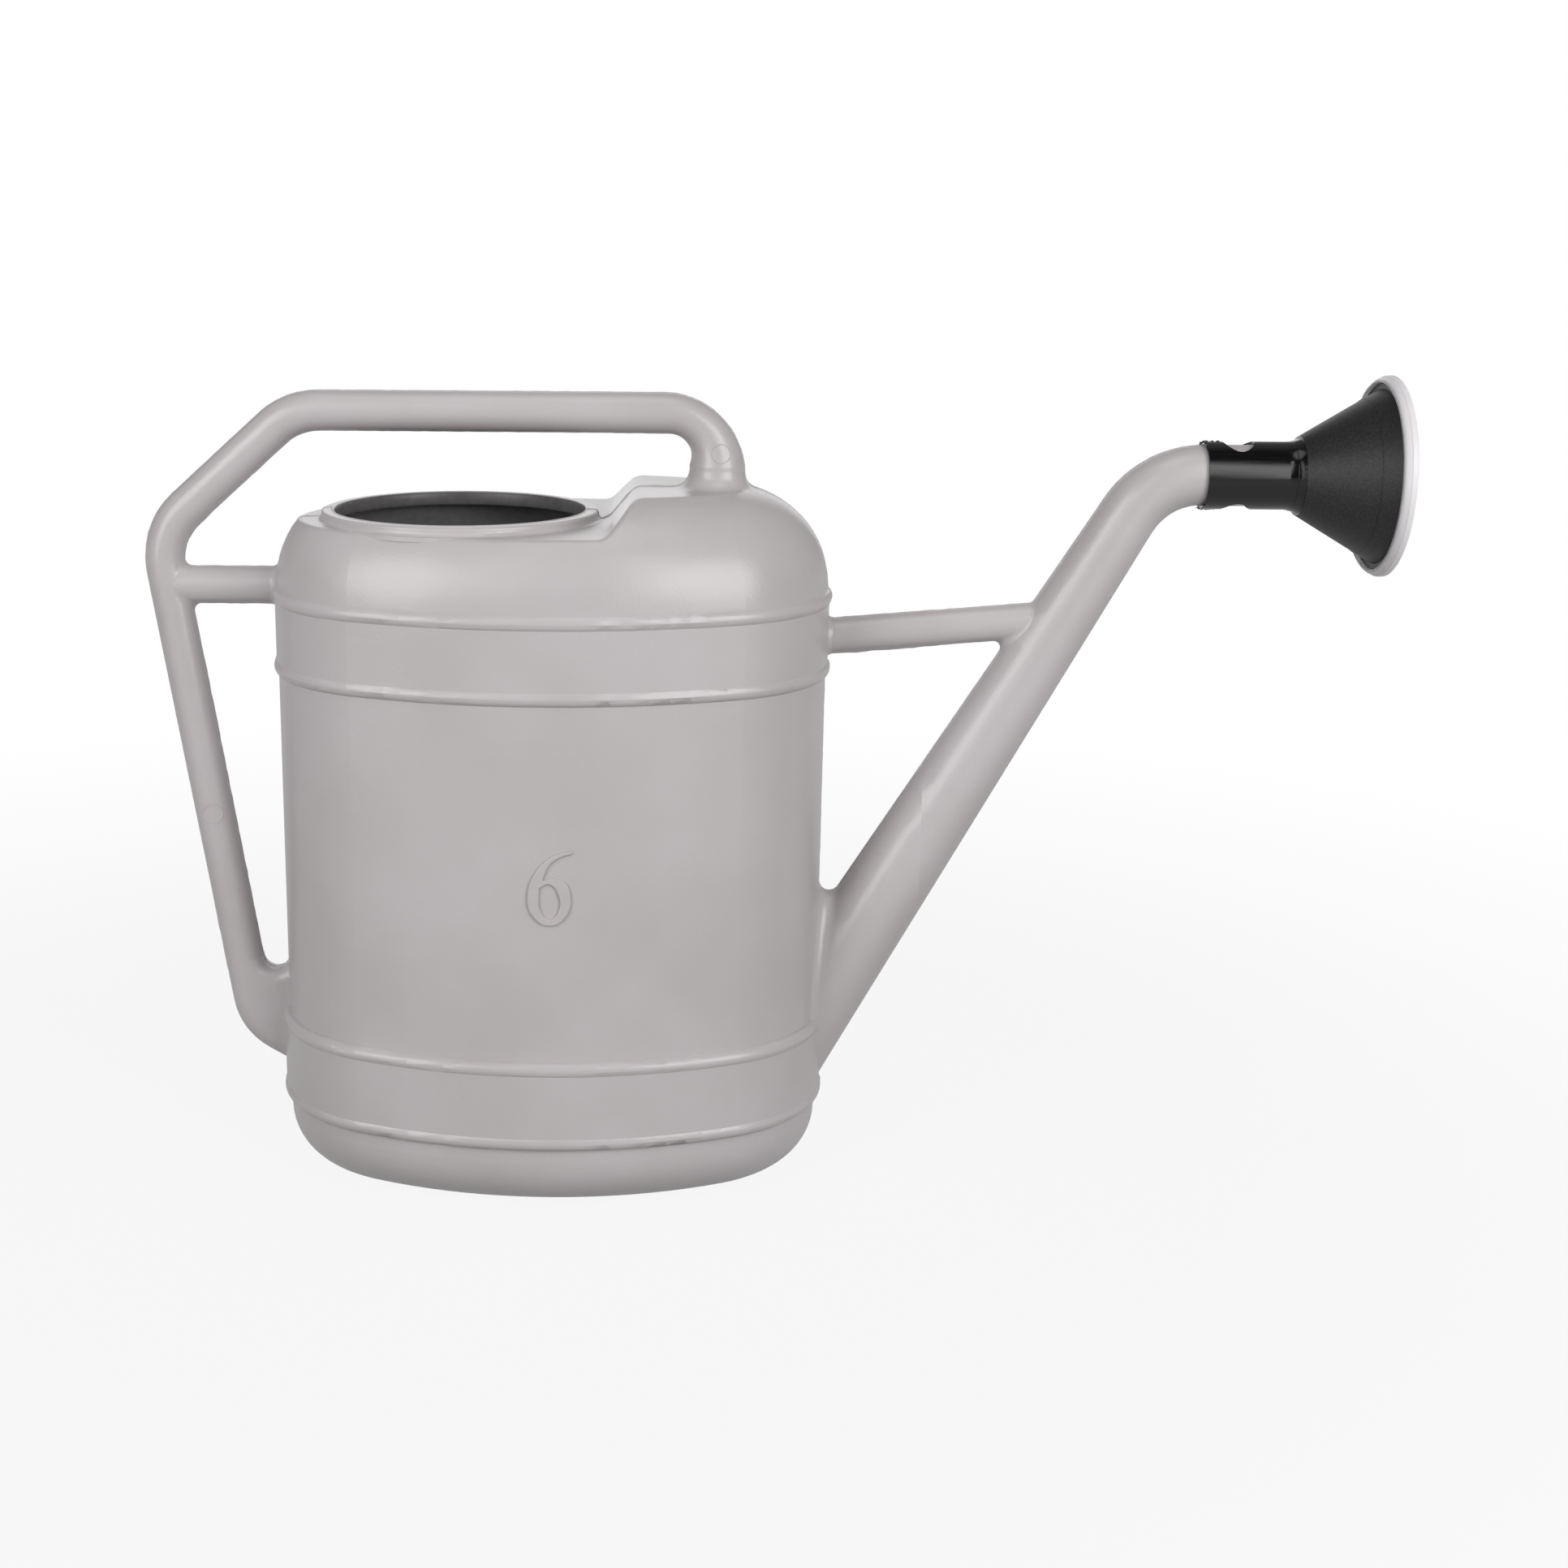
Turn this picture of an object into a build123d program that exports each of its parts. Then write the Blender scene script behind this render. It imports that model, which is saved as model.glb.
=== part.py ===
"""Garden watering can: blow-moulded body, pull-off rose and snap-on rose plate.

Millimetres. X runs from the handle to the rose, Y across the tank, Z up.
The origin is the middle of the tank's foot, on the ground.
"""
import math
import os

from build123d import *

# Tank: a four-arc oval in plan, with a round shoulder and a round foot
TANK_WIDTH = 221.6
TANK_DEPTH = 141.6
END_RADIUS = 59.6
TANK_HEIGHT = 284.6
SHOULDER_RADIUS = 40.4
FOOT_RADIUS = 22.5
WALL = 1.8

# Floor: pushed up in the middle, so the tank stands on a ring
STANDING_RING = 7.0
FLOOR_RISE = 3.0
FLOOR_BLEND = 1.5

# Hoops: two raised bands, each edged by two round beads; the upper one hangs from the tank's top
UPPER_BAND_PROUD = 0.8
UPPER_BEAD_PROUD = 1.8
LOWER_BAND_PROUD = 2.2
LOWER_BEAD_PROUD = 2.9
BEAD_HEIGHT = 6.6
BEAD_ROUND = 3.2
LOWER_BAND_BOTTOM = 31.5
LOWER_BAND_TOP = 62.2
UPPER_BAND_DROP = 44.3
UPPER_BAND_HEIGHT = 28.7
UPPER_BAND_TOP = TANK_HEIGHT - UPPER_BAND_DROP
UPPER_BAND_BOTTOM = UPPER_BAND_TOP - UPPER_BAND_HEIGHT

# Mouth: its middle lies at MOUTH_INSET from the tank's handle end
MOUTH_INSET = 74.0
MOUTH_X = MOUTH_INSET - TANK_WIDTH / 2
MOUTH_RADIUS = 50.4
COLLAR_WIDTH = 4.8
COLLAR_HEIGHT = 3.6
COLLAR_ROUND = 1.2
COLLAR_FLARE = 2.0

# Deck: a level round the mouth, a slope, and a higher level under the handle, below the tank's top
MOUTH_DECK_DROP = 14.1
GRIP_DECK_DROP = 1.1
MOUTH_DECK = TANK_HEIGHT - MOUTH_DECK_DROP
GRIP_DECK = TANK_HEIGHT - GRIP_DECK_DROP
DECK_STEP_REACH = 64.6
DECK_STEP_ANGLE = 50.0
DECK_STEP_ROUND = 6.6
DECK_EDGE_ROUND = 3.0

# Handle: grip, slope and leg in one bent tube, flared where it stands on the deck
HANDLE_DIAMETER = 15.8
GRIP_RISE = 28.0
GRIP_HEIGHT = TANK_HEIGHT + GRIP_RISE
GRIP_BEND = 28.0
SLOPE_TOP_INSET = 7.8
LEG_TOP_REACH = 47.3
LEG_TOP_DROP = 21.5
LEG_TOP_HEIGHT = TANK_HEIGHT - LEG_TOP_DROP
LEG_BEND = 28.0
LEG_LEAN = 8.9
LEG_FOOT_HEIGHT = 56.0
LEG_FOOT_BEND = 22.0
LEG_FOOT_DROP = 30.0
CROTCH_HEIGHT = 79.6
WEB_DEPTH = 15.4
WEB_ROUND = 5.5
ROOT_INSET = 44.9
ROOT_X = TANK_WIDTH / 2 - ROOT_INSET
ROOT_BEND = 20.5
ROOT_BEND_DIAMETER = 16.4
ROOT_DIAMETER = 21.4
ROOT_FILLET = 7.0
ROOT_SINK = 12.0

# Handle stay, below the leg's top
HANDLE_STAY_DROP = 20.6
HANDLE_STAY_HEIGHT = LEG_TOP_HEIGHT - HANDLE_STAY_DROP
HANDLE_STAY_DIAMETER = 15.0

# Spout: a tapered tube, a bend and a level nozzle
SPOUT_FOOT_HEIGHT = 69.9
SPOUT_ANGLE = 59.7
SPOUT_FOOT_DIAMETER = 36.6
SPOUT_BEND = 33.0
NOZZLE_DIAMETER = 23.7
NOZZLE_RISE = 5.0
NOZZLE_HEIGHT = TANK_HEIGHT + NOZZLE_RISE
NOZZLE_LENGTH = 30.0
SPOUT_LEAD = 2.0
SPOUT_SINK = 40.0

# The body is one moulding, kept as two pieces that meet flush this far from the tank's wall
SPOUT_CUT = 40.0

# Spout stay, below the tank's top
SPOUT_STAY_DROP = 61.3
SPOUT_STAY_HEIGHT = TANK_HEIGHT - SPOUT_STAY_DROP
SPOUT_STAY_ANGLE = 5.1
SPOUT_STAY_DIAMETER = 14.2

# Moulded fillets where the tubes meet
STAY_FILLET = 3.0
SPOUT_FILLET = 4.5

# Rose: a socket over the nozzle, with a snap hole above and below, and a cone with a flange
FIT_CLEARANCE = 0.3
SOCKET_WALL = 1.2
SOCKET_LENGTH = 37.6
SOCKET_FLARE = 1.5
SNAP_HOLE_X = 13.2
SNAP_HOLE_LENGTH = 12.5
SNAP_HOLE_WIDTH = 17.0
CONE_LENGTH = 31.7
CONE_SMALL_RADIUS = 15.6
CONE_LARGE_RADIUS = 34.4
CONE_WALL = 1.8
FLANGE_RADIUS = 36.7
FLANGE_THICKNESS = 1.6

# Rose plate: a cap over the flange with a lip and a rounded rim, pierced in rings
PLATE_THICKNESS = 1.8
PLATE_RADIUS = 39.5
PLATE_ROUND = 0.5
LIP_LENGTH = 2.2
LIP_PROUD = 0.4
RIM_LENGTH = 5.2
RIM_EDGE = 0.3
SEAT_GAP = 0.2
JET_DIAMETER = 2.0
JET_RINGS = 4
JET_PITCH = 7.0
JETS_PER_RING = 6

# A round bar or cone that stands on its end
ON_END = (Align.CENTER, Align.CENTER, Align.MIN)


def oval(inset=0.0):
    """Plan of the tank, drawn in by inset: two end arcs and two flatter side arcs, tangent."""
    half_width = TANK_WIDTH / 2 - inset
    half_depth = TANK_DEPTH / 2 - inset
    end = END_RADIUS - inset
    reach = half_width - end
    side = (reach**2 + half_depth**2 - end**2) / (2 * (half_depth - end))
    share = side / (side - end)
    join_x = share * reach
    join_y = (share - 1) * (side - half_depth)
    front = ThreePointArc((-join_x, -join_y), (0, -half_depth), (join_x, -join_y))
    right = ThreePointArc((join_x, -join_y), (half_width, 0), (join_x, join_y))
    back = ThreePointArc((join_x, join_y), (0, half_depth), (-join_x, join_y))
    left = ThreePointArc((-join_x, join_y), (-half_width, 0), (-join_x, -join_y))
    return make_face([front, right, back, left])


def slab(inset, low, high):
    """The oval plan as a block between two heights."""
    return Pos(0, 0, low) * extrude(oval(inset), high - low)


def upright(edges):
    """A face in the XZ plane from edges drawn in X and Z."""
    return Plane.XZ * make_face(edges)


def above_deck(inset=0.0):
    """Everything over the deck, as a block across the tank; inset gives the underside of the wall."""
    far = TANK_WIDTH
    sky = 2 * TANK_HEIGHT
    angle = math.radians(DECK_STEP_ANGLE)
    run = (GRIP_DECK - MOUTH_DECK) / math.tan(angle)
    middle = MOUTH_X + DECK_STEP_REACH + inset * math.tan(angle / 2)
    low = MOUTH_DECK - inset
    high = GRIP_DECK - inset
    rounds = (DECK_STEP_ROUND + inset, DECK_STEP_ROUND - inset)
    corners = [(-far, low), (middle - run / 2, low), (middle + run / 2, high), (far, high)]
    line = FilletPolyline(*corners, radius=rounds)
    lid = Polyline((far, high), (far, sky), (-far, sky), (-far, low))
    return extrude(upright([line, lid]), TANK_DEPTH, both=True)


def tank_form(inset=0.0):
    """The tank as a full body, drawn in by inset, with its shoulder, foot, deck and pushed-up floor."""
    form = slab(inset, inset, TANK_HEIGHT - inset)
    form = fillet(form.edges().group_by(Axis.Z)[-1], SHOULDER_RADIUS - inset)
    form = fillet(form.edges().group_by(Axis.Z)[0], FOOT_RADIUS - inset)
    push_up = slab(FOOT_RADIUS + STANDING_RING - inset, inset, FLOOR_RISE + inset)
    push_up = fillet(push_up.edges().group_by(Axis.Z)[-1], FLOOR_BLEND)
    sky = above_deck(inset)
    decked = form - sky
    decked = fillet(new_edges(form, sky, combined=decked), DECK_EDGE_ROUND - inset)
    return decked - push_up


def hoop(low, high, band_proud, bead_proud):
    """A raised band with a round bead along each edge."""
    ring = slab(-band_proud, low, high)
    for height in (low, high):
        bead = slab(-bead_proud, height - BEAD_HEIGHT / 2, height + BEAD_HEIGHT / 2)
        rims = bead.edges().group_by(Axis.Z)
        ring += fillet(rims[0] + rims[-1], BEAD_ROUND)
    return ring


def tube(points, bends, radius):
    """A round tube along straight runs in the XZ plane, with a bend at each corner."""
    path = FilletPolyline(*[(x, 0, z) for x, z in points], radius=bends)
    return sweep(Plane(path @ 0, z_dir=path % 0) * Circle(radius), path=path)


def leg_x(height):
    """X of the leg's centre line at a height."""
    top_x = -TANK_WIDTH / 2 - LEG_TOP_REACH
    return top_x + (LEG_TOP_HEIGHT - height) * math.tan(math.radians(LEG_LEAN))


def handle_tube(inset=0.0):
    """Grip, slope and leg: one bent tube from the root's bend into the side of the tank."""
    drop = math.radians(LEG_FOOT_DROP)
    inner_x = -TANK_WIDTH / 2 + HANDLE_DIAMETER / 2
    foot_x = leg_x(LEG_FOOT_HEIGHT)
    end_height = LEG_FOOT_HEIGHT - (inner_x - foot_x) * math.tan(drop)
    points = [
        (ROOT_X - ROOT_BEND, GRIP_HEIGHT),
        (SLOPE_TOP_INSET - TANK_WIDTH / 2, GRIP_HEIGHT),
        (leg_x(LEG_TOP_HEIGHT), LEG_TOP_HEIGHT),
        (foot_x, LEG_FOOT_HEIGHT),
        (inner_x, end_height),
    ]
    return tube(points, (GRIP_BEND, LEG_BEND, LEG_FOOT_BEND), HANDLE_DIAMETER / 2 - inset)


def handle_root(inset=0.0):
    """The grip's front end: it bends down and widens to a post that is sunk in the deck."""
    turn_x = ROOT_X - ROOT_BEND
    turn_height = GRIP_HEIGHT - ROOT_BEND
    path = ThreePointArc(
        (turn_x, 0, GRIP_HEIGHT),
        (turn_x + ROOT_BEND * math.sqrt(0.5), 0, turn_height + ROOT_BEND * math.sqrt(0.5)),
        (ROOT_X, 0, turn_height),
    )
    narrow = Plane(path @ 0, z_dir=path % 0) * Circle(HANDLE_DIAMETER / 2 - inset)
    half_way = Plane(path @ 0.5, z_dir=path % 0.5) * Circle(ROOT_BEND_DIAMETER / 2 - inset)
    wide = Plane(path @ 1, z_dir=path % 1) * Circle(ROOT_DIAMETER / 2 - inset)
    bend = sweep([narrow, half_way, wide], path=path, multisection=True)
    foot = GRIP_DECK - ROOT_SINK - inset
    post = Cylinder(ROOT_DIAMETER / 2 - inset, turn_height - foot, align=ON_END)
    return bend + Pos(ROOT_X, 0, foot) * post


def leg_web():
    """The moulded web that closes the gap between the leg and the tank, with a round crotch on top."""
    wall_x = -TANK_WIDTH / 2
    inner_x = wall_x + HANDLE_DIAMETER / 2
    slack = HANDLE_DIAMETER / 2 / math.cos(math.radians(LEG_LEAN))
    gap = wall_x - leg_x(CROTCH_HEIGHT) - slack
    top = CROTCH_HEIGHT + gap / 2
    inner_leg_x = leg_x(top) + slack
    middle_x = (inner_leg_x + wall_x) / 2
    crotch = ThreePointArc((inner_leg_x, top), (middle_x, CROTCH_HEIGHT), (wall_x, top))
    foot = (leg_x(LEG_FOOT_HEIGHT), LEG_FOOT_HEIGHT)
    low = LEG_FOOT_HEIGHT - (inner_x - foot[0]) * math.tan(math.radians(LEG_FOOT_DROP))
    leg_middle = (leg_x(top), top)
    rest = Polyline((wall_x, top), (inner_x, top), (inner_x, low), foot, leg_middle, (inner_leg_x, top))
    web = extrude(upright([crotch, rest]), WEB_DEPTH / 2, both=True)
    rims = web.edges().filter_by(GeomType.CIRCLE)
    return fillet(rims, WEB_ROUND)


def spout_form(inset=0.0):
    """The tapered spout with its bend and level nozzle; its lower end lies inside the tank."""
    angle = math.radians(SPOUT_ANGLE)
    wall_x = TANK_WIDTH / 2
    corner_x = wall_x + (NOZZLE_HEIGHT - SPOUT_FOOT_HEIGHT) / math.tan(angle)
    bend_run = SPOUT_BEND * math.tan(angle / 2)
    length = (NOZZLE_HEIGHT - SPOUT_FOOT_HEIGHT) / math.sin(angle) - bend_run - SPOUT_LEAD
    narrowing = (SPOUT_FOOT_DIAMETER - NOZZLE_DIAMETER) / length
    low_radius = (SPOUT_FOOT_DIAMETER + narrowing * SPOUT_SINK) / 2
    axis = Plane((wall_x, 0, SPOUT_FOOT_HEIGHT), (0, 1, 0), (math.cos(angle), 0, math.sin(angle)))
    taper = Cone(low_radius - inset, NOZZLE_DIAMETER / 2 - inset, length + SPOUT_SINK, align=ON_END)
    shaft = axis * Pos(0, 0, -SPOUT_SINK) * taper
    lead_x = wall_x + length * math.cos(angle)
    lead_height = SPOUT_FOOT_HEIGHT + length * math.sin(angle)
    end_x = corner_x + bend_run + NOZZLE_LENGTH
    points = [(lead_x, lead_height), (corner_x, NOZZLE_HEIGHT), (end_x, NOZZLE_HEIGHT)]
    return shaft + tube(points, (SPOUT_BEND,), NOZZLE_DIAMETER / 2 - inset)


def bar(start, angle, length, diameter):
    """A round bar in the XZ plane from a point, at an angle above the X axis."""
    turn = math.radians(angle)
    axis = Plane((start[0], 0, start[1]), (0, 1, 0), (math.cos(turn), 0, math.sin(turn)))
    return axis * Cylinder(diameter / 2, length, align=ON_END)


def blend(body, piece, radius):
    """Joins a piece to the body and rounds the new inner edges."""
    joined = body + piece
    return fillet(new_edges(body, piece, combined=joined), radius)


def collar():
    """The round collar of the mouth on its flared foot, still closed, standing through the deck's wall."""
    neck = MOUTH_RADIUS + COLLAR_WIDTH
    brim = neck + COLLAR_FLARE
    block = Polyline(
        (neck, COLLAR_FLARE),
        (neck, COLLAR_HEIGHT),
        (0, COLLAR_HEIGHT),
        (0, -WALL),
        (brim, -WALL),
        (brim, 0),
    )
    flare = RadiusArc((brim, 0), (neck, COLLAR_FLARE), COLLAR_FLARE)
    ring = revolve(upright([block, flare]), Axis.Z)
    ring = fillet(ring.edges().group_by(Axis.Z)[-1], COLLAR_ROUND)
    return Pos(MOUTH_X, 0, MOUTH_DECK) * ring


def moulded_skin():
    """The whole moulded body: tank, handle, spout and stays in one hollow skin."""
    body = blend(tank_form(), handle_root(), ROOT_FILLET) + handle_tube() + leg_web()
    wall_x = TANK_WIDTH / 2
    leg_at_stay = leg_x(HANDLE_STAY_HEIGHT)
    sink = HANDLE_STAY_DIAMETER / 4
    stay = bar((leg_at_stay, HANDLE_STAY_HEIGHT), 0, sink - wall_x - leg_at_stay, HANDLE_STAY_DIAMETER)
    body = blend(body, stay, STAY_FILLET)
    body = blend(body, spout_form(), SPOUT_FILLET)
    lean = math.radians(SPOUT_STAY_ANGLE)
    rise = SPOUT_STAY_HEIGHT - SPOUT_FOOT_HEIGHT
    reach = rise / (math.tan(math.radians(SPOUT_ANGLE)) - math.tan(lean))
    sink = SPOUT_STAY_DIAMETER / 4
    stay_start = (wall_x - sink, SPOUT_STAY_HEIGHT - sink * math.tan(lean))
    stay_length = (reach + sink) / math.cos(lean)
    spout_stay = bar(stay_start, SPOUT_STAY_ANGLE, stay_length, SPOUT_STAY_DIAMETER)
    body = blend(body, spout_stay, STAY_FILLET)
    body += hoop(LOWER_BAND_BOTTOM, LOWER_BAND_TOP, LOWER_BAND_PROUD, LOWER_BEAD_PROUD)
    body += hoop(UPPER_BAND_BOTTOM, UPPER_BAND_TOP, UPPER_BAND_PROUD, UPPER_BEAD_PROUD)
    body += collar()
    for form in (tank_form, handle_tube, handle_root, spout_form):
        body -= form(WALL)
    body -= Pos(MOUTH_X, 0, MOUTH_DECK) * Cylinder(MOUTH_RADIUS, 4 * COLLAR_HEIGHT)
    return body


def spout_side():
    """Everything beyond the cut through the spout and its stay."""
    reach = 4 * TANK_HEIGHT
    beyond = Box(reach, reach, reach, align=(Align.MIN, Align.CENTER, Align.CENTER))
    return Pos(TANK_WIDTH / 2 + SPOUT_CUT, 0, 0) * beyond


def rose_start():
    """X of the socket's rim, where the nozzle leaves its bend."""
    angle = math.radians(SPOUT_ANGLE)
    run = (NOZZLE_HEIGHT - SPOUT_FOOT_HEIGHT) / math.tan(angle)
    return TANK_WIDTH / 2 + run + SPOUT_BEND * math.tan(angle / 2)


def turned(edges):
    """A body of revolution about the nozzle's axis, from edges drawn as distance along it and radius."""
    body = revolve(make_face(edges), Axis.X)
    return Pos(rose_start(), 0, NOZZLE_HEIGHT) * body


def rose():
    """The black rose: a socket with two snap holes, a step, and a hollow cone with a flange."""
    bore = NOZZLE_DIAMETER / 2 + FIT_CLEARANCE
    socket = bore + SOCKET_WALL
    cone_end = SOCKET_LENGTH + CONE_LENGTH
    steep = math.atan2(CONE_LARGE_RADIUS - CONE_SMALL_RADIUS, CONE_LENGTH)
    skin = CONE_WALL / math.cos(steep)
    end = cone_end + FLANGE_THICKNESS
    mouth = CONE_LARGE_RADIUS - skin
    throat = SOCKET_LENGTH - (CONE_SMALL_RADIUS - skin - bore) / math.tan(steep)
    swell_start = SOCKET_LENGTH - 4 * SOCKET_FLARE
    outside = Polyline((throat, bore), (0, bore), (0, socket), (swell_start, socket))
    swell = TangentArc((swell_start, socket), (SOCKET_LENGTH, socket + SOCKET_FLARE), tangent=(1, 0))
    rest = Polyline(
        (SOCKET_LENGTH, socket + SOCKET_FLARE),
        (SOCKET_LENGTH, CONE_SMALL_RADIUS),
        (cone_end, CONE_LARGE_RADIUS),
        (cone_end, FLANGE_RADIUS),
        (end, FLANGE_RADIUS),
        (end, mouth),
        (cone_end, mouth),
        (throat, bore),
    )
    hole = extrude(Ellipse(SNAP_HOLE_LENGTH / 2, SNAP_HOLE_WIDTH / 2), 2 * socket, both=True)
    return turned([outside, swell, rest]) - Pos(rose_start() + SNAP_HOLE_X, 0, NOZZLE_HEIGHT) * hole


def rose_plate():
    """The white cap over the flange, pierced by rings of jets round one in the middle."""
    seat = SOCKET_LENGTH + CONE_LENGTH + FLANGE_THICKNESS + SEAT_GAP
    face = seat + PLATE_THICKNESS
    rim_start = face - RIM_LENGTH
    rim_bore = FLANGE_RADIUS + FIT_CLEARANCE
    lip = (face - LIP_LENGTH, PLATE_RADIUS - LIP_PROUD)
    rear = (rim_start, rim_bore + RIM_EDGE)
    outline = Polyline(
        rear,
        (rim_start, rim_bore),
        (seat, rim_bore),
        (seat, 0),
        (face, 0),
        (face, PLATE_RADIUS),
        (face - LIP_LENGTH, PLATE_RADIUS),
        lip,
    )
    plate = turned([outline, TangentArc(lip, rear, tangent=(-1, 0))])
    edges = plate.edges().filter_by(GeomType.CIRCLE).group_by(SortBy.RADIUS)[-1]
    plate = fillet(edges.sort_by(Axis.X)[-1], PLATE_ROUND)
    jet = Cylinder(JET_DIAMETER / 2, 4 * PLATE_THICKNESS, rotation=(0, 90, 0))
    jets = [jet]
    for ring in range(1, JET_RINGS + 1):
        count = ring * JETS_PER_RING
        for place in range(count):
            turn = 2 * math.pi * place / count
            radius = ring * JET_PITCH
            jets.append(Pos(0, radius * math.cos(turn), radius * math.sin(turn)) * jet)
    middle = Pos(rose_start() + face, 0, NOZZLE_HEIGHT)
    return plate - [middle * each for each in jets]


skin = moulded_skin()
parts = {
    "can_body": skin - spout_side(),
    "spout": skin & spout_side(),
    "rose": rose(),
    "rose_plate": rose_plate(),
}
os.makedirs("parts", exist_ok=True)
for name, part in parts.items():
    export_step(part, f"parts/{name}.step")
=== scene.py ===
"""Looks of the garden watering can: grey blow-moulded body, black rose, white sprinkler plate.

Metres, in the frame of the solids: X runs from the handle to the rose, Y across the tank, Z up.
"""
import math

import bmesh
import bpy
from mathutils import Matrix, Vector, noise
from mathutils.bvhtree import BVHTree


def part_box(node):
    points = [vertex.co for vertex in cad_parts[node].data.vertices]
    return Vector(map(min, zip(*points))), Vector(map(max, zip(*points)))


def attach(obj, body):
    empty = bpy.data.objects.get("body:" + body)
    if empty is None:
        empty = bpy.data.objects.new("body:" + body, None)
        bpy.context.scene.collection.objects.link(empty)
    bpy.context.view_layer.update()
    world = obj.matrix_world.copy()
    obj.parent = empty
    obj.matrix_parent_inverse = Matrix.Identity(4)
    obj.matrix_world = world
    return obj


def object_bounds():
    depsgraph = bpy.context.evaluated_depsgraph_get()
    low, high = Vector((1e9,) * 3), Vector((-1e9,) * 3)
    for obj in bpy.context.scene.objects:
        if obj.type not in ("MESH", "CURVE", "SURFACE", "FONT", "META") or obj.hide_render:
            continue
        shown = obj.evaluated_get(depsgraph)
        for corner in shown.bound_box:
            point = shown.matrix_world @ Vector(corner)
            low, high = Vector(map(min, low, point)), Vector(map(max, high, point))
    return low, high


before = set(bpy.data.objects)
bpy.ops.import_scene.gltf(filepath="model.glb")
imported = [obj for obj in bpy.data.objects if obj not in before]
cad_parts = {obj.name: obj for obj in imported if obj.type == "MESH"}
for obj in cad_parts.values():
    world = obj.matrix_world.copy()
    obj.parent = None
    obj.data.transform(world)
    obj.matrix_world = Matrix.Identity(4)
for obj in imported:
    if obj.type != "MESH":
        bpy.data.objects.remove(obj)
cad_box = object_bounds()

MM = 0.001
WELD = 0.005 * MM

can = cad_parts["can_body"]
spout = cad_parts["spout"]
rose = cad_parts["rose"]
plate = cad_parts["rose_plate"]

# Places on the solids
MOUTH_X = -36.8 * MM
MOUTH_RADIUS = 50.4 * MM
MOUTH_STEPS = 160
COLLAR_TOP = 274.1 * MM
DECK_UNDERSIDE = 268.7 * MM
SPOUT_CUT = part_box("can_body")[1].x
NOZZLE_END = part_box("spout")[1].x
ROSE_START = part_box("rose")[0].x
NOZZLE_HEIGHT = (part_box("rose_plate")[0].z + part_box("rose_plate")[1].z) / 2
SOCKET_RADIUS = 13.35 * MM
CONE_START = ROSE_START + 37.6 * MM
PLATE_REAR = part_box("rose_plate")[0].x
PLATE_BORE = 37.0 * MM


def linear(code):
    """An sRGB hex colour as the linear colour that a shader takes."""
    parts = [int(code[at:at + 2], 16) / 255 for at in (0, 2, 4)]
    return [p / 12.92 if p <= 0.04045 else ((p + 0.055) / 1.055) ** 2.4 for p in parts] + [1.0]


def add_node(tree, kind, inputs=(), **settings):
    """Adds a shader node with its settings; an input takes a value or the output that feeds it."""
    made = tree.nodes.new("ShaderNode" + kind)
    for name, value in settings.items():
        setattr(made, name, value)
    for socket, value in dict(inputs).items():
        if isinstance(value, bpy.types.NodeSocket):
            tree.links.new(value, made.inputs[socket])
        else:
            made.inputs[socket].default_value = value
    return made


def new_material(name):
    """An empty node material with its output; returns the material, its tree and the output node."""
    material = bpy.data.materials.new(name)
    material.use_nodes = True
    tree = material.node_tree
    tree.nodes.clear()
    return material, tree, tree.nodes.new("ShaderNodeOutputMaterial")


def moulded_polyethylene():
    """Blow-moulded polyethylene: waxy satin grey with the mould's orange peel and a few dark specks."""
    material, tree, output = new_material("moulded_polyethylene_grey")
    place = add_node(tree, "TexCoord").outputs["Object"]
    # clouds of slightly warmer and cooler grey, about 70 mm across
    cloud = add_node(tree, "TexNoise", {"Vector": place, "Scale": 1 / 0.070, "Detail": 3.0})
    tone = add_node(tree, "ValToRGB", {"Fac": cloud.outputs["Fac"]})
    tone.color_ramp.elements[0].position = 0.35
    tone.color_ramp.elements[0].color = linear("b6b1b1")
    tone.color_ramp.elements[1].position = 0.65
    tone.color_ramp.elements[1].color = linear("bdb8b9")
    # specks of burnt resin, half a millimetre wide, one in about 25 mm
    cell = add_node(tree, "TexVoronoi", {"Vector": place, "Scale": 1 / 0.025})
    near = add_node(tree, "Math", {0: cell.outputs["Distance"], 1: 0.011}, operation="LESS_THAN")
    chosen = add_node(tree, "Math", {0: cell.outputs["Color"], 1: 0.62}, operation="GREATER_THAN")
    speck = add_node(tree, "Math", {0: near.outputs[0], 1: chosen.outputs[0]}, operation="MULTIPLY")
    colour = add_node(
        tree, "Mix", {0: speck.outputs[0], 6: tone.outputs["Color"], 7: linear("858180")}, data_type="RGBA"
    )
    # orange peel; the real one is finer than a millimetre and is drawn a little coarser, so that it shows
    peel = add_node(tree, "TexNoise", {"Vector": place, "Scale": 1 / 0.0011, "Detail": 2.0})
    wave = add_node(tree, "TexNoise", {"Vector": place, "Scale": 1 / 0.018, "Detail": 1.0})
    rough = add_node(tree, "MapRange", {"Value": cloud.outputs["Fac"], "To Min": 0.25, "To Max": 0.33})
    sag = add_node(tree, "Bump", {"Height": wave.outputs["Fac"], "Strength": 0.25, "Distance": 0.25 * MM})
    skin = add_node(
        tree,
        "Bump",
        {"Height": peel.outputs["Fac"], "Strength": 0.50, "Distance": 0.14 * MM, "Normal": sag.outputs[0]},
    )
    shader = add_node(
        tree,
        "BsdfPrincipled",
        {
            "Base Color": colour.outputs[2],
            "Roughness": rough.outputs[0],
            "IOR": 1.51,
            "Normal": skin.outputs[0],
        },
    )
    tree.links.new(shader.outputs[0], output.inputs["Surface"])
    return material


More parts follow.
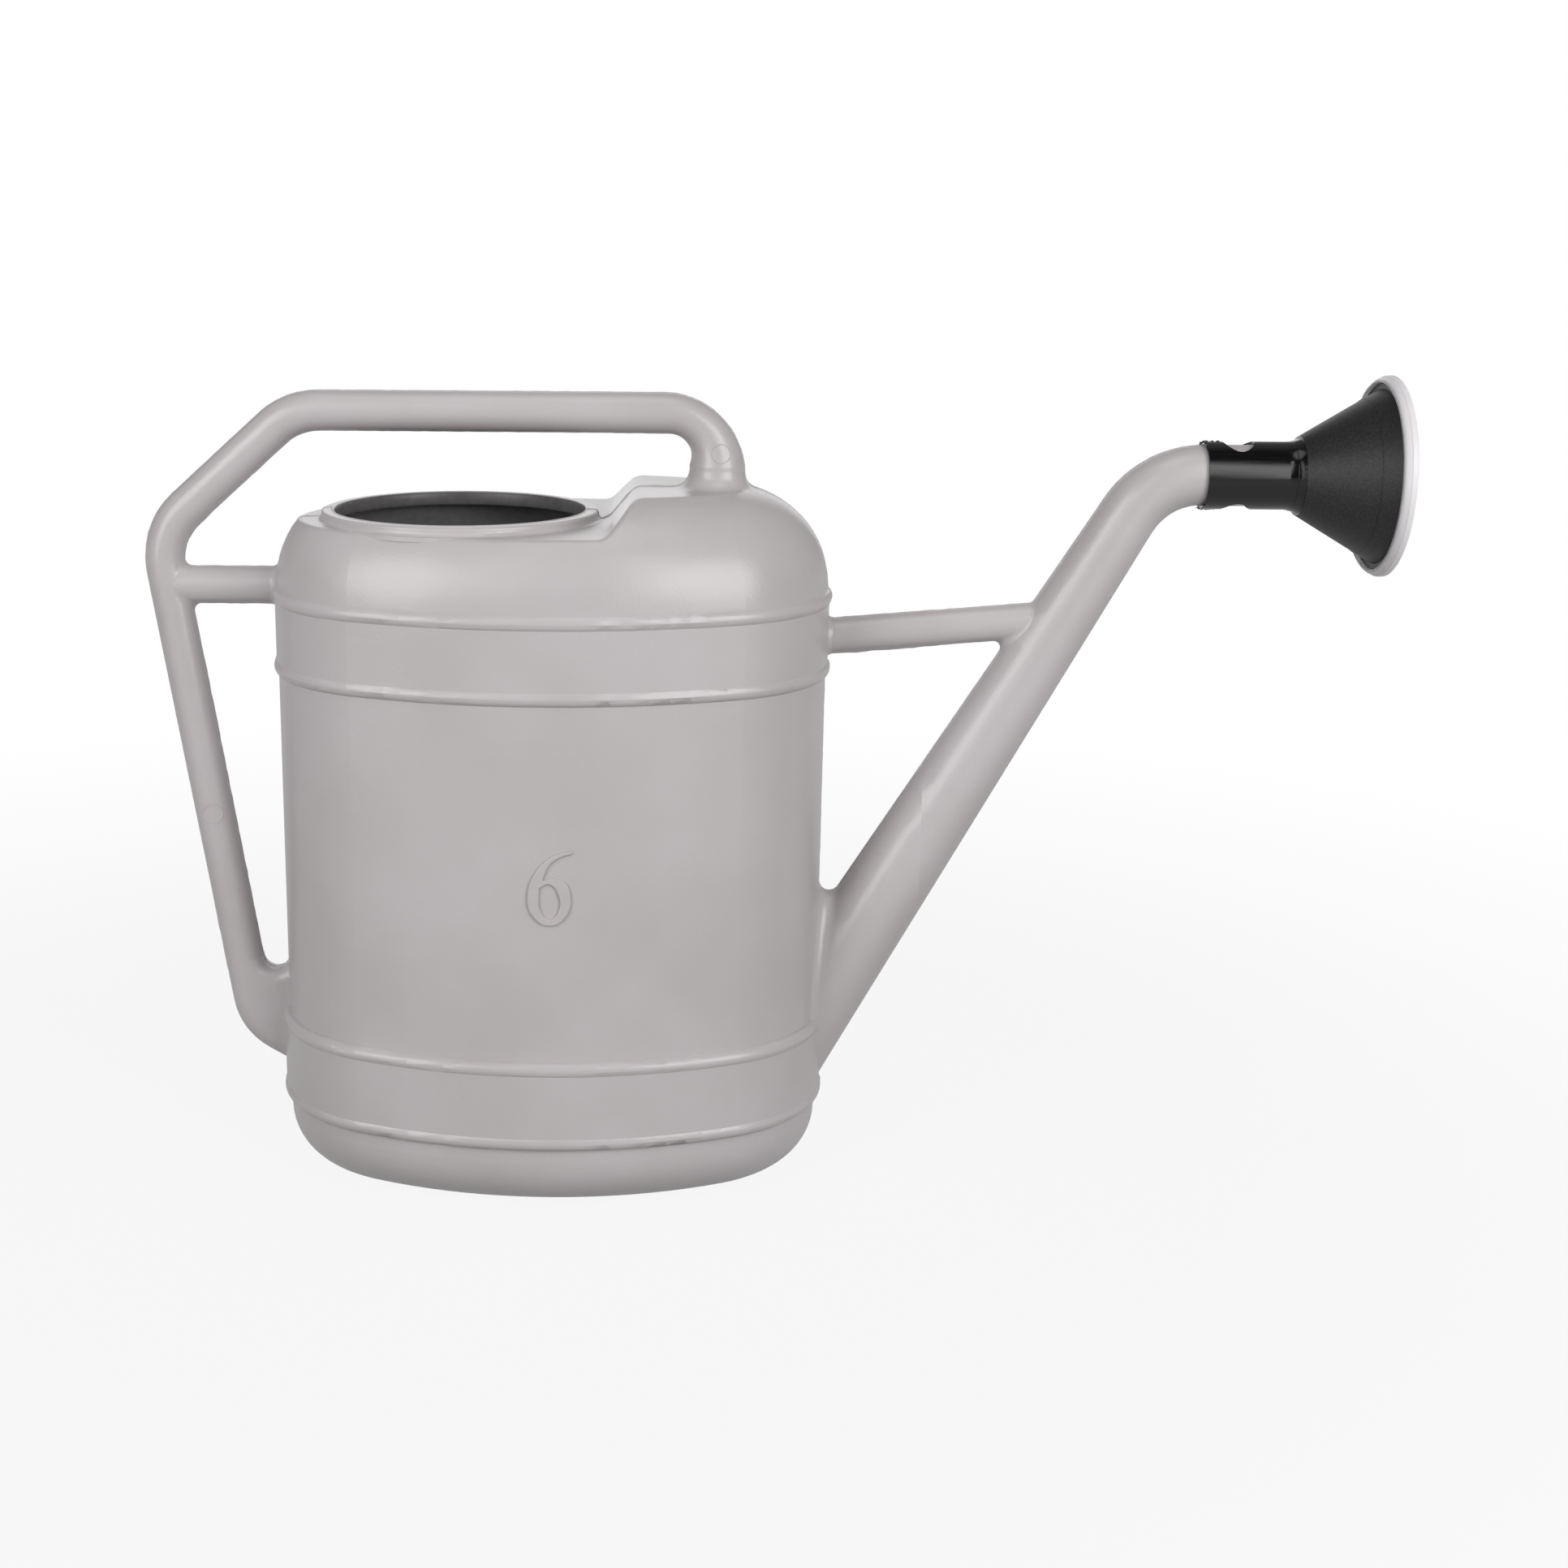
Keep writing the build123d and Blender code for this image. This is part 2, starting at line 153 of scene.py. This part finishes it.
def black_polypropylene():
    """Injection-moulded black polypropylene: the socket polished, the cone with a fine eroded grain."""
    material, tree, output = new_material("black_polypropylene")
    place = add_node(tree, "TexCoord").outputs["Object"]
    along = add_node(tree, "SeparateXYZ", {0: place}).outputs["X"]
    on_cone = add_node(
        tree,
        "MapRange",
        {"Value": along, "From Min": CONE_START - 0.1 * MM, "From Max": CONE_START + 0.1 * MM},
    ).outputs[0]
    # the eroded grain is about 0.3 mm wide, and is drawn at 0.8 mm so that it shows
    grain = add_node(tree, "TexNoise", {"Vector": place, "Scale": 1 / 0.0008, "Detail": 3.0})
    sparkle = add_node(tree, "ValToRGB", {"Fac": grain.outputs["Fac"]})
    sparkle.color_ramp.elements[0].position = 0.45
    sparkle.color_ramp.elements[0].color = linear("121012")
    sparkle.color_ramp.elements[1].position = 0.72
    sparkle.color_ramp.elements[1].color = linear("2a282a")
    colour = add_node(
        tree, "Mix", {0: on_cone, 6: linear("0c0b0d"), 7: sparkle.outputs["Color"]}, data_type="RGBA"
    )
    # scuffs along the polished socket, thin and long
    stretched = add_node(tree, "Mapping", {"Vector": place, "Scale": (1 / 0.020, 1 / 0.0012, 1 / 0.0012)})
    scuff = add_node(tree, "TexNoise", {"Vector": stretched.outputs[0], "Scale": 1.0, "Detail": 3.0})
    polished = add_node(
        tree,
        "MapRange",
        {"Value": scuff.outputs["Fac"], "From Min": 0.35, "From Max": 0.7, "To Min": 0.12, "To Max": 0.24},
    )
    rough = add_node(tree, "Mix", {0: on_cone, 2: polished.outputs[0], 3: 0.50})
    depth = add_node(tree, "Math", {0: on_cone, 1: 0.5}, operation="MULTIPLY")
    skin = add_node(
        tree,
        "Bump",
        {"Height": grain.outputs["Fac"], "Strength": depth.outputs[0], "Distance": 0.2 * MM},
    )
    shader = add_node(
        tree,
        "BsdfPrincipled",
        {
            "Base Color": colour.outputs[2],
            "Roughness": rough.outputs[0],
            "IOR": 1.49,
            "Normal": skin.outputs[0],
        },
    )
    tree.links.new(shader.outputs[0], output.inputs["Surface"])
    return material


def white_polypropylene():
    """Injection-moulded white polypropylene: smooth, slightly cool, thin enough to let light through."""
    material, tree, output = new_material("white_polypropylene")
    place = add_node(tree, "TexCoord").outputs["Object"]
    cloud = add_node(tree, "TexNoise", {"Vector": place, "Scale": 1 / 0.030, "Detail": 2.0})
    tone = add_node(tree, "ValToRGB", {"Fac": cloud.outputs["Fac"]})
    tone.color_ramp.elements[0].position = 0.3
    tone.color_ramp.elements[0].color = linear("e1dce0")
    tone.color_ramp.elements[1].position = 0.7
    tone.color_ramp.elements[1].color = linear("e9e5e9")
    # turning marks and flow of the mould, about a millimetre apart
    flow = add_node(tree, "TexNoise", {"Vector": place, "Scale": 1 / 0.0015, "Detail": 2.0})
    rough = add_node(tree, "MapRange", {"Value": flow.outputs["Fac"], "To Min": 0.34, "To Max": 0.46})
    skin = add_node(tree, "Bump", {"Height": flow.outputs["Fac"], "Strength": 0.04, "Distance": 0.05 * MM})
    shader = add_node(
        tree,
        "BsdfPrincipled",
        {
            "Base Color": tone.outputs["Color"],
            "Subsurface Weight": 1.0,
            "Subsurface Radius": (1, 1, 1),
            "Subsurface Scale": 5 * MM,
            "Roughness": rough.outputs[0],
            "IOR": 1.49,
            "Normal": skin.outputs[0],
        },
    )
    tree.links.new(shader.outputs[0], output.inputs["Surface"])
    return material


def painted_shade_polyethylene(name, darker, lighter):
    """Polyethylene made darker to stand for shade, a little waxy and uneven: painted shade."""
    material, tree, output = new_material(name)
    place = add_node(tree, "TexCoord").outputs["Object"]
    # marks of knife and flow, about 3 mm apart
    marks = add_node(tree, "TexNoise", {"Vector": place, "Scale": 1 / 0.003, "Detail": 2.0})
    tone = add_node(tree, "ValToRGB", {"Fac": marks.outputs["Fac"]})
    tone.color_ramp.elements[0].position = 0.35
    tone.color_ramp.elements[0].color = linear(darker)
    tone.color_ramp.elements[1].position = 0.65
    tone.color_ramp.elements[1].color = linear(lighter)
    rough = add_node(tree, "MapRange", {"Value": marks.outputs["Fac"], "To Min": 0.34, "To Max": 0.46})
    shader = add_node(
        tree,
        "BsdfPrincipled",
        {"Base Color": tone.outputs["Color"], "Roughness": rough.outputs[0], "IOR": 1.51},
    )
    tree.links.new(shader.outputs[0], output.inputs["Surface"])
    return material


def pale_floor():
    """A pale floor that the camera sees as nearly white, with the can's shadow kept near the can."""
    material, tree, output = new_material("pale_floor")
    light = add_node(tree, "LightPath")
    glossy = add_node(tree, "Math", {0: light.outputs["Is Glossy Ray"], 1: 0.5}, operation="MULTIPLY")
    seen = light.outputs["Is Camera Ray"]
    for kind in (glossy.outputs[0], light.outputs["Is Transmission Ray"]):
        seen = add_node(tree, "Math", {0: seen, 1: kind}, operation="MAXIMUM").outputs[0]
    place = add_node(tree, "TexCoord").outputs["Object"]
    away = add_node(tree, "VectorMath", {0: place}, operation="LENGTH")
    white = add_node(
        tree,
        "MapRange",
        {"Value": away.outputs["Value"], "From Min": 0.25, "From Max": 0.9, "To Min": 0.90, "To Max": 1.0},
        interpolation_type="SMOOTHSTEP",
    )
    share = add_node(tree, "Math", {0: seen, 1: white.outputs[0]}, operation="MULTIPLY")
    chalk = add_node(tree, "BsdfDiffuse", {"Color": linear("9c9c9c")})
    glow = add_node(tree, "Emission", {"Color": (1, 1, 1, 1), "Strength": 1.0})
    both = add_node(tree, "MixShader", {0: share.outputs[0], 1: chalk.outputs[0], 2: glow.outputs[0]})
    tree.links.new(both.outputs[0], output.inputs["Surface"])
    return material


def show(mesh, name, material, body):
    """Links a finished mesh as a smooth piece that rides on a body of the can."""
    piece = bpy.data.objects.new(name, mesh)
    bpy.context.scene.collection.objects.link(piece)
    mesh.materials.clear()
    mesh.materials.append(material)
    for face in mesh.polygons:
        face.use_smooth = True
    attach(piece, body)


def lies_flat(face, place):
    """True for a face that lies across the can at a place along it."""
    return all(abs(vert.co.x - place) < 4 * WELD for vert in face.verts)


def lies_in_mouth(face):
    """True for a face of the mouth's bore."""
    return all(abs(math.hypot(v.co.x - MOUTH_X, v.co.y) - MOUTH_RADIUS) < 4 * WELD for v in face.verts)


def spread(start, shut):
    """All faces that hang together with the starting ones without a step over the shut ones."""
    found, front = set(start), list(start)
    while front:
        for edge in front.pop().edges:
            for other in edge.link_faces:
                if other not in found and other not in shut:
                    found.add(other)
                    front.append(other)
    return found


def lowest(faces):
    """The face that lies nearest to the ground."""
    return min(faces, key=lambda face: face.calc_center_median().z)


def outer_skin():
    """The outside of the can as one merged surface, parted from its inside at the mouth and the nozzle."""
    skin = bmesh.new()
    skin.from_mesh(can.data)
    skin.from_mesh(spout.data)
    bmesh.ops.remove_doubles(skin, verts=skin.verts[:], dist=WELD)
    shut = set()
    for face in skin.faces:
        if lies_flat(face, SPOUT_CUT) or lies_flat(face, NOZZLE_END) or lies_in_mouth(face):
            shut.add(face)
    shaft = [face for face in skin.faces if min(v.co.x for v in face.verts) > SPOUT_CUT + WELD]
    found = spread([lowest(skin.faces), lowest(shaft)], shut)
    bmesh.ops.delete(skin, geom=[face for face in skin.faces if face not in found], context="FACES")
    return skin


def paint_inside_shade(material):
    """Gives the tank's inside and the mouth's bore a darker material: painted shade."""
    skin = bmesh.new()
    skin.from_mesh(can.data)
    number = skin.faces.layers.int.new("number")
    for place, face in enumerate(skin.faces):
        face[number] = place
    bmesh.ops.remove_doubles(skin, verts=skin.verts[:], dist=WELD)
    shut = {face for face in skin.faces if lies_flat(face, SPOUT_CUT) or lies_in_mouth(face)}
    outside = spread([lowest(skin.faces)], shut)
    can.data.materials.append(material)
    for face in skin.faces:
        if face not in outside and not lies_flat(face, SPOUT_CUT):
            can.data.polygons[face[number]].material_index = 1
    skin.free()


def mouth_bore_shade(material):
    """The mouth's cut bore as a dark, slightly swollen ring; its darkness is painted shade."""
    ring = bmesh.new()
    bmesh.ops.create_circle(ring, segments=20, radius=1)
    swell = 0.6 * MM
    size = Matrix.Diagonal((swell, (COLLAR_TOP - DECK_UNDERSIDE) / 2, 1, 1))
    place = Vector((MOUTH_X + MOUTH_RADIUS, 0, (COLLAR_TOP + DECK_UNDERSIDE) / 2))
    stand = Matrix.Translation(place) @ Matrix.Rotation(math.pi / 2, 4, "X") @ size
    bmesh.ops.transform(ring, matrix=stand, verts=ring.verts[:])
    bmesh.ops.spin(
        ring,
        geom=ring.edges[:],
        cent=(MOUTH_X, 0, 0),
        axis=(0, 0, 1),
        angle=2 * math.pi,
        steps=MOUTH_STEPS,
        use_merge=True,
    )
    bmesh.ops.recalc_face_normals(ring, faces=ring.faces[:])
    mesh = bpy.data.meshes.new("mouth_bore_shade")
    ring.to_mesh(mesh)
    ring.free()
    show(mesh, "mouth_bore_shade", material, "can")


def line_to_mesh(wire, name, thickness, radius_at):
    """A wire of edges as a thin round bead; radius_at gives its share of the thickness at a point."""
    mesh = bpy.data.meshes.new(name)
    wire.to_mesh(mesh)
    line = bpy.data.objects.new(name + "_line", mesh)
    bpy.context.scene.collection.objects.link(line)
    bpy.ops.object.select_all(action="DESELECT")
    line.select_set(True)
    bpy.context.view_layer.objects.active = line
    bpy.ops.object.convert(target="CURVE")
    curve = line.data
    curve.bevel_depth = thickness
    curve.bevel_resolution = 2
    curve.use_fill_caps = True
    for spline in curve.splines:
        for point in spline.points:
            point.radius = radius_at(Vector(point.co[:3]))
    bpy.context.view_layer.update()
    bead = bpy.data.meshes.new_from_object(line.evaluated_get(bpy.context.evaluated_depsgraph_get()))
    bead.name = name
    bpy.data.objects.remove(line)
    return bead


# Where the parting seam stands up most: X, Z and reach of each spot, in millimetres
SEAM_SPOTS = ((42, 277, 36), (19, 272, 6), (81, 284, 9), (111, 242, 5), (135, 231, 30), (-142, 266, 7))


def seam_share(point):
    """How much of its full size the seam has at a point: all of it on a spot, little on the plain runs."""
    nearest = max(1 - math.hypot(point.x / MM - x, point.z / MM - z) / reach for x, z, reach in SEAM_SPOTS)
    behind_leg = -142 * MM < point.x < -108 * MM and 78 * MM < point.z < 240 * MM
    return 0.15 + 0.30 * behind_leg + 0.85 * max(0.0, min(0.8, 2 * nearest))


def parting_line(material):
    """The seam of the two mould halves all round the can: a thin uneven bead, thickest on the deck."""
    seam = outer_skin()
    everything = seam.verts[:] + seam.edges[:] + seam.faces[:]
    cut = bmesh.ops.bisect_plane(seam, geom=everything, dist=WELD, plane_co=(0, 0, 0), plane_no=(0, 1, 0))
    line = bmesh.ops.duplicate(seam, geom=cut["geom_cut"])["geom"]
    kept = {part for part in line if isinstance(part, bmesh.types.BMVert)}
    bmesh.ops.delete(seam, geom=[v for v in seam.verts if v not in kept], context="VERTS")
    step = 2.5 * MM
    for edge in seam.edges[:]:
        cuts = int(edge.calc_length() / step)
        if cuts:
            bmesh.ops.subdivide_edges(seam, edges=[edge], cuts=cuts)
    thickness = 0.34 * MM
    low = cad_box[0] + Vector((1, 1, 1)) * thickness
    for vert in seam.verts:
        wander = noise.noise(vert.co / (9 * MM)) * 0.5 + noise.noise(vert.co / (2.5 * MM)) * 0.25
        vert.co.y += wander * MM * seam_share(vert.co)
        vert.co.x = max(vert.co.x, low.x)
        vert.co.z = max(vert.co.z, low.z)

    def radius(point):
        rough = noise.noise(point / (4 * MM))
        return (0.75 + 0.5 * rough) * (0.7 + 1.3 * seam_share(point))

    bead = line_to_mesh(seam, "parting_line", thickness, radius)
    seam.free()
    show(bead, "parting_line", material, "can")


def torn(point):
    """Uneven size of a torn edge, as a share of its thickness."""
    return 0.9 + 0.9 * noise.noise(point / (1.1 * MM))


def rim_flash(name, side, material):
    """Torn flash on the socket's rim and on the bridge to its snap hole; side is 1 above and -1 below."""
    wire = bmesh.new()
    height = side * (SOCKET_RADIUS - 0.2 * MM)
    axis = Vector((ROSE_START, 0, NOZZLE_HEIGHT))
    bridge = bmesh.ops.create_vert(wire, co=axis + Vector((-1.7 * MM, 0, height)))["vert"]
    bmesh.ops.extrude_vert_indiv(wire, verts=bridge)
    wire.verts.ensure_lookup_table()
    wire.verts[-1].co.x = ROSE_START + 6.0 * MM
    bmesh.ops.subdivide_edges(wire, edges=wire.edges[:], cuts=20)
    for vert in wire.verts:
        vert.co.z += side * 0.6 * MM * noise.noise(vert.co / (0.9 * MM))
    spread = math.radians(70)
    lip = bmesh.ops.create_vert(wire, co=axis + Vector((0, 0, height)))["vert"]
    bmesh.ops.rotate(wire, verts=lip, cent=axis, matrix=Matrix.Rotation(-spread / 2, 3, "X"))
    bmesh.ops.spin(wire, geom=lip, cent=axis, axis=(1, 0, 0), angle=spread, steps=24)
    bead = line_to_mesh(wire, name, 0.45 * MM, torn)
    wire.free()
    show(bead, name, material, "rose")


def mouth_burr(material):
    """The thin burr that the trimming knife leaves on the mouth's inner edge, torn at the handle's end."""
    wire = bmesh.new()
    bmesh.ops.create_circle(wire, segments=MOUTH_STEPS, radius=MOUTH_RADIUS + 0.2 * MM)
    bmesh.ops.translate(wire, vec=(MOUTH_X, 0, COLLAR_TOP), verts=wire.verts[:])

    def size(point):
        near = 1 - math.hypot(point.x - MOUTH_X + MOUTH_RADIUS, point.y) / (14 * MM)
        return 0.8 + 1.2 * max(0.0, near) * torn(point)

    bead = line_to_mesh(wire, "mouth_burr", 0.35 * MM, size)
    wire.free()
    show(bead, "mouth_burr", material, "can")


# The capacity figure's outline and its eye, in millimetres from its middle; the figure's corners are sharp
FIGURE = (
    (8.4, 15.0), (1.3, 12.9), (-5.0, 7.2), (-8.7, -3.6), (-6.6, -11.4), (-0.1, -15.2), (5.9, -11.9),
    (8.2, -4.5), (5.6, 2.6), (1.0, 4.0), (-2.9, 3.0), (0.4, 9.8), (5.0, 12.8), (8.7, 13.8),
)
FIGURE_EYE = ((-4.0, 0.0), (-0.1, 1.6), (3.4, -2.8), (3.2, -9.7), (0.0, -12.6), (-3.4, -9.7))
FIGURE_CORNERS = ((8.4, 15.0), (-2.9, 3.0), (8.7, 13.8), (-4.0, 0.0))
FIGURE_PLACE = (2.0 * MM, 137.3 * MM)


def capacity_figure(material):
    """The raised capacity figure on the front wall, with soft edges."""
    proud = 1.0 * MM
    soft = 0.45 * MM
    curve = bpy.data.curves.new("capacity_figure", "CURVE")
    curve.dimensions = "2D"
    curve.fill_mode = "BOTH"
    curve.extrude = proud - soft
    curve.bevel_depth = soft
    curve.bevel_resolution = 3
    curve.offset = -soft
    curve.resolution_u = 8
    for outline in (FIGURE, FIGURE_EYE):
        spline = curve.splines.new("BEZIER")
        spline.bezier_points.add(len(outline) - 1)
        spline.use_cyclic_u = True
        for point, (x, z) in zip(spline.bezier_points, outline):
            point.co = (x * MM, z * MM, 0)
            kind = "VECTOR" if (x, z) in FIGURE_CORNERS else "AUTO"
            point.handle_left_type = point.handle_right_type = kind
    drawn = bpy.data.objects.new("capacity_figure_curve", curve)
    bpy.context.scene.collection.objects.link(drawn)
    bpy.context.view_layer.update()
    mesh = bpy.data.meshes.new_from_object(drawn.evaluated_get(bpy.context.evaluated_depsgraph_get()))
    mesh.name = "capacity_figure"
    bpy.data.objects.remove(drawn)
    across, up = FIGURE_PLACE
    mesh.transform(Matrix.Translation((across, 0, up)) @ Matrix.Rotation(math.pi / 2, 4, "X"))
    for vert in mesh.vertices:
        vert.co.y += on_front(vert.co.x, vert.co.z).y
    show(mesh, "capacity_figure", material, "can")


skin_tree = BVHTree.FromObject(can, bpy.context.evaluated_depsgraph_get())


def on_front(x, z):
    """The point of the can that is seen from straight in front at x and z."""
    hit = skin_tree.ray_cast(Vector((x, -1, z)), Vector((0, 1, 0)))[0]
    return hit if hit else Vector((x, 0, z))


def ejector_mark(name, x, z, radius, material):
    """The faint ring that a round pin of the mould leaves on the skin."""
    ring = bmesh.new()
    bmesh.ops.create_circle(ring, segments=40, radius=radius)
    for vert in ring.verts:
        vert.co = on_front(x + vert.co.x, z + vert.co.y)
    bead = line_to_mesh(ring, name, 0.20 * MM, lambda point: 1.0)
    ring.free()
    show(bead, name, material, "can")


def cone_radius(x):
    """Radius of the rose's cone at a place along the can."""
    return (15.6 + 18.8 * (x - CONE_START) / (31.7 * MM)) * MM


def ring_bead(name, x, radius, thickness, material, body):
    """A thin round line all round the rose's axis, a little uneven."""
    ring = bmesh.new()
    bmesh.ops.create_circle(ring, segments=96, radius=radius)
    turn = Matrix.Translation((x, 0, NOZZLE_HEIGHT)) @ Matrix.Rotation(math.pi / 2, 4, "Y")
    bmesh.ops.transform(ring, matrix=turn, verts=ring.verts[:])
    bead = line_to_mesh(ring, name, thickness, lambda point: 0.9 + 0.2 * noise.noise(point / (6 * MM)))
    ring.free()
    show(bead, name, material, body)


def floor(material):
    """A wide sheet just under the can's standing ring."""
    sheet = bmesh.new()
    bmesh.ops.create_grid(sheet, x_segments=1, y_segments=1, size=20.0)
    mesh = bpy.data.meshes.new("floor")
    sheet.to_mesh(mesh)
    sheet.free()
    mesh.transform(Matrix.Translation((0, 0, -0.2 * MM)))
    mesh.materials.append(material)
    piece = bpy.data.objects.new("floor", mesh)
    bpy.context.scene.collection.objects.link(piece)


# Each soft box: name, degrees beside the can's front, degrees above its shoulder, width, height, watts
BOXES = (
    ("left_box", -46, 18, 0.8, 1.25, 11.6),
    ("right_box", 45, 18, 0.8, 1.25, 12.8),
    ("front_strip", 25, 26, 0.25, 1.7, 3.6),
    ("left_strip", -19, 26, 0.25, 1.7, 2.2),
    ("top_box", 0, 80, 0.8, 0.9, 2.8),
    ("rear_box", 180, 12, 1.2, 1.2, 4.4),
)
ROOM_LIGHT = 0.03
BACKDROP_LIGHT = 0.25


def soft_box(name, place, target, width, height, watts):
    """A large area lamp at a place, turned to a target."""
    lamp = bpy.data.lights.new(name, "AREA")
    lamp.shape = "ELLIPSE"
    lamp.size, lamp.size_y = width, height
    lamp.energy = watts
    holder = bpy.data.objects.new(name, lamp)
    holder.location = place
    holder.rotation_euler = (Vector(target) - Vector(place)).to_track_quat("-Z", "Y").to_euler()
    bpy.context.scene.collection.objects.link(holder)


def studio():
    """Soft boxes on both sides and behind, tall strips in front, weak light overhead, a white backdrop."""
    middle = Vector((0.05, 0, 0.24))
    distance = 1.5
    for name, side, rise, width, height, watts in BOXES:
        turn, tilt = math.radians(side), math.radians(rise)
        aim = Vector((math.sin(turn) * math.cos(tilt), -math.cos(turn) * math.cos(tilt), math.sin(tilt)))
        soft_box(name, middle + distance * aim, middle, width, height, watts)
    world = bpy.data.worlds.new("white_backdrop")
    world.use_nodes = True
    tree = world.node_tree
    tree.nodes.clear()
    light = add_node(tree, "LightPath")
    seen = add_node(
        tree,
        "Math",
        {0: light.outputs["Is Camera Ray"], 1: light.outputs["Is Transmission Ray"]},
        operation="MAXIMUM",
    )
    toward = add_node(tree, "SeparateXYZ", {0: add_node(tree, "TexCoord").outputs["Generated"]})
    glow = add_node(
        tree,
        "MapRange",
        {
            "Value": toward.outputs["Y"],
            "From Min": 0.0,
            "From Max": 0.5,
            "To Min": ROOM_LIGHT,
            "To Max": BACKDROP_LIGHT,
        },
        interpolation_type="SMOOTHSTEP",
    )
    room = add_node(tree, "Background", {"Color": linear("ffffff"), "Strength": glow.outputs[0]})
    white = add_node(tree, "Background", {"Color": linear("ffffff"), "Strength": 1.0})
    both = add_node(tree, "MixShader", {0: seen.outputs[0], 1: room.outputs[0], 2: white.outputs[0]})
    output = tree.nodes.new("ShaderNodeOutputWorld")
    tree.links.new(both.outputs[0], output.inputs["Surface"])
    bpy.context.scene.world = world


def camera():
    """The photograph's viewpoint."""
    pitch, yaw, roll = 0.2579, -0.0127, 0.0064
    ahead = Vector((math.sin(yaw) * math.cos(pitch), math.cos(yaw) * math.cos(pitch), -math.sin(pitch)))
    right = Vector((math.cos(yaw), -math.sin(yaw), 0))
    up = right.cross(ahead)
    turned_right = math.cos(roll) * right + math.sin(roll) * up
    turned_up = math.cos(roll) * up - math.sin(roll) * right
    view = Matrix((turned_right, turned_up, -ahead)).transposed().to_4x4()
    lens = bpy.data.cameras.new("photo_camera")
    lens.sensor_width = 36.0
    lens.lens = 52.66
    lens.shift_x = 0.10
    lens.shift_y = 0.0036
    lens.clip_end = 100
    holder = bpy.data.objects.new("photo_camera", lens)
    holder.matrix_world = Matrix.Translation((42.40 * MM, -915.29 * MM, 399.70 * MM)) @ view
    bpy.context.scene.collection.objects.link(holder)
    bpy.context.scene.camera = holder


def dress(node, material):
    """Gives a solid of the frame its finish."""
    node.data.materials.clear()
    node.data.materials.append(material)


grey = moulded_polyethylene()
black = black_polypropylene()
white = white_polypropylene()
# dark ring on the mouth's bore: painted shade
bore_painted_shade = painted_shade_polyethylene("polyethylene_bore_painted_shade", "5e5c5d", "686667")
# the tank's inside and the bore in darker polyethylene: painted shade
inside = painted_shade_polyethylene("polyethylene_inside_painted_shade", "807e7f", "888687")
dress(can, grey)
dress(spout, grey)
dress(rose, black)
dress(plate, white)
paint_inside_shade(inside)
mouth_bore_shade(bore_painted_shade)
parting_line(grey)
capacity_figure(grey)
mouth_burr(grey)
rim_flash("rim_flash_top", 1, black)
rim_flash("rim_flash_bottom", -1, black)
ejector_mark("ejector_mark_leg", -139.6 * MM, 148.3 * MM, 4.0 * MM, grey)
ejector_mark("ejector_mark_root", 67.0 * MM, 297.5 * MM, 3.6 * MM, grey)
for name, x, radius in (
    ("cone_witness_ring", 320.4 * MM, cone_radius(320.4 * MM)),
    ("socket_witness_ring", CONE_START - 2.9 * MM, SOCKET_RADIUS + 0.35 * MM),
):
    ring_bead(name, x, radius, 0.18 * MM, black, "rose")
rear_edge = PLATE_REAR + 0.3 * MM
ring_bead("plate_rear_edge", rear_edge, PLATE_BORE + 0.4 * MM, 0.35 * MM, white, "plate")
floor(pale_floor())
studio()
camera()
bpy.context.scene.view_settings.view_transform = "Standard"
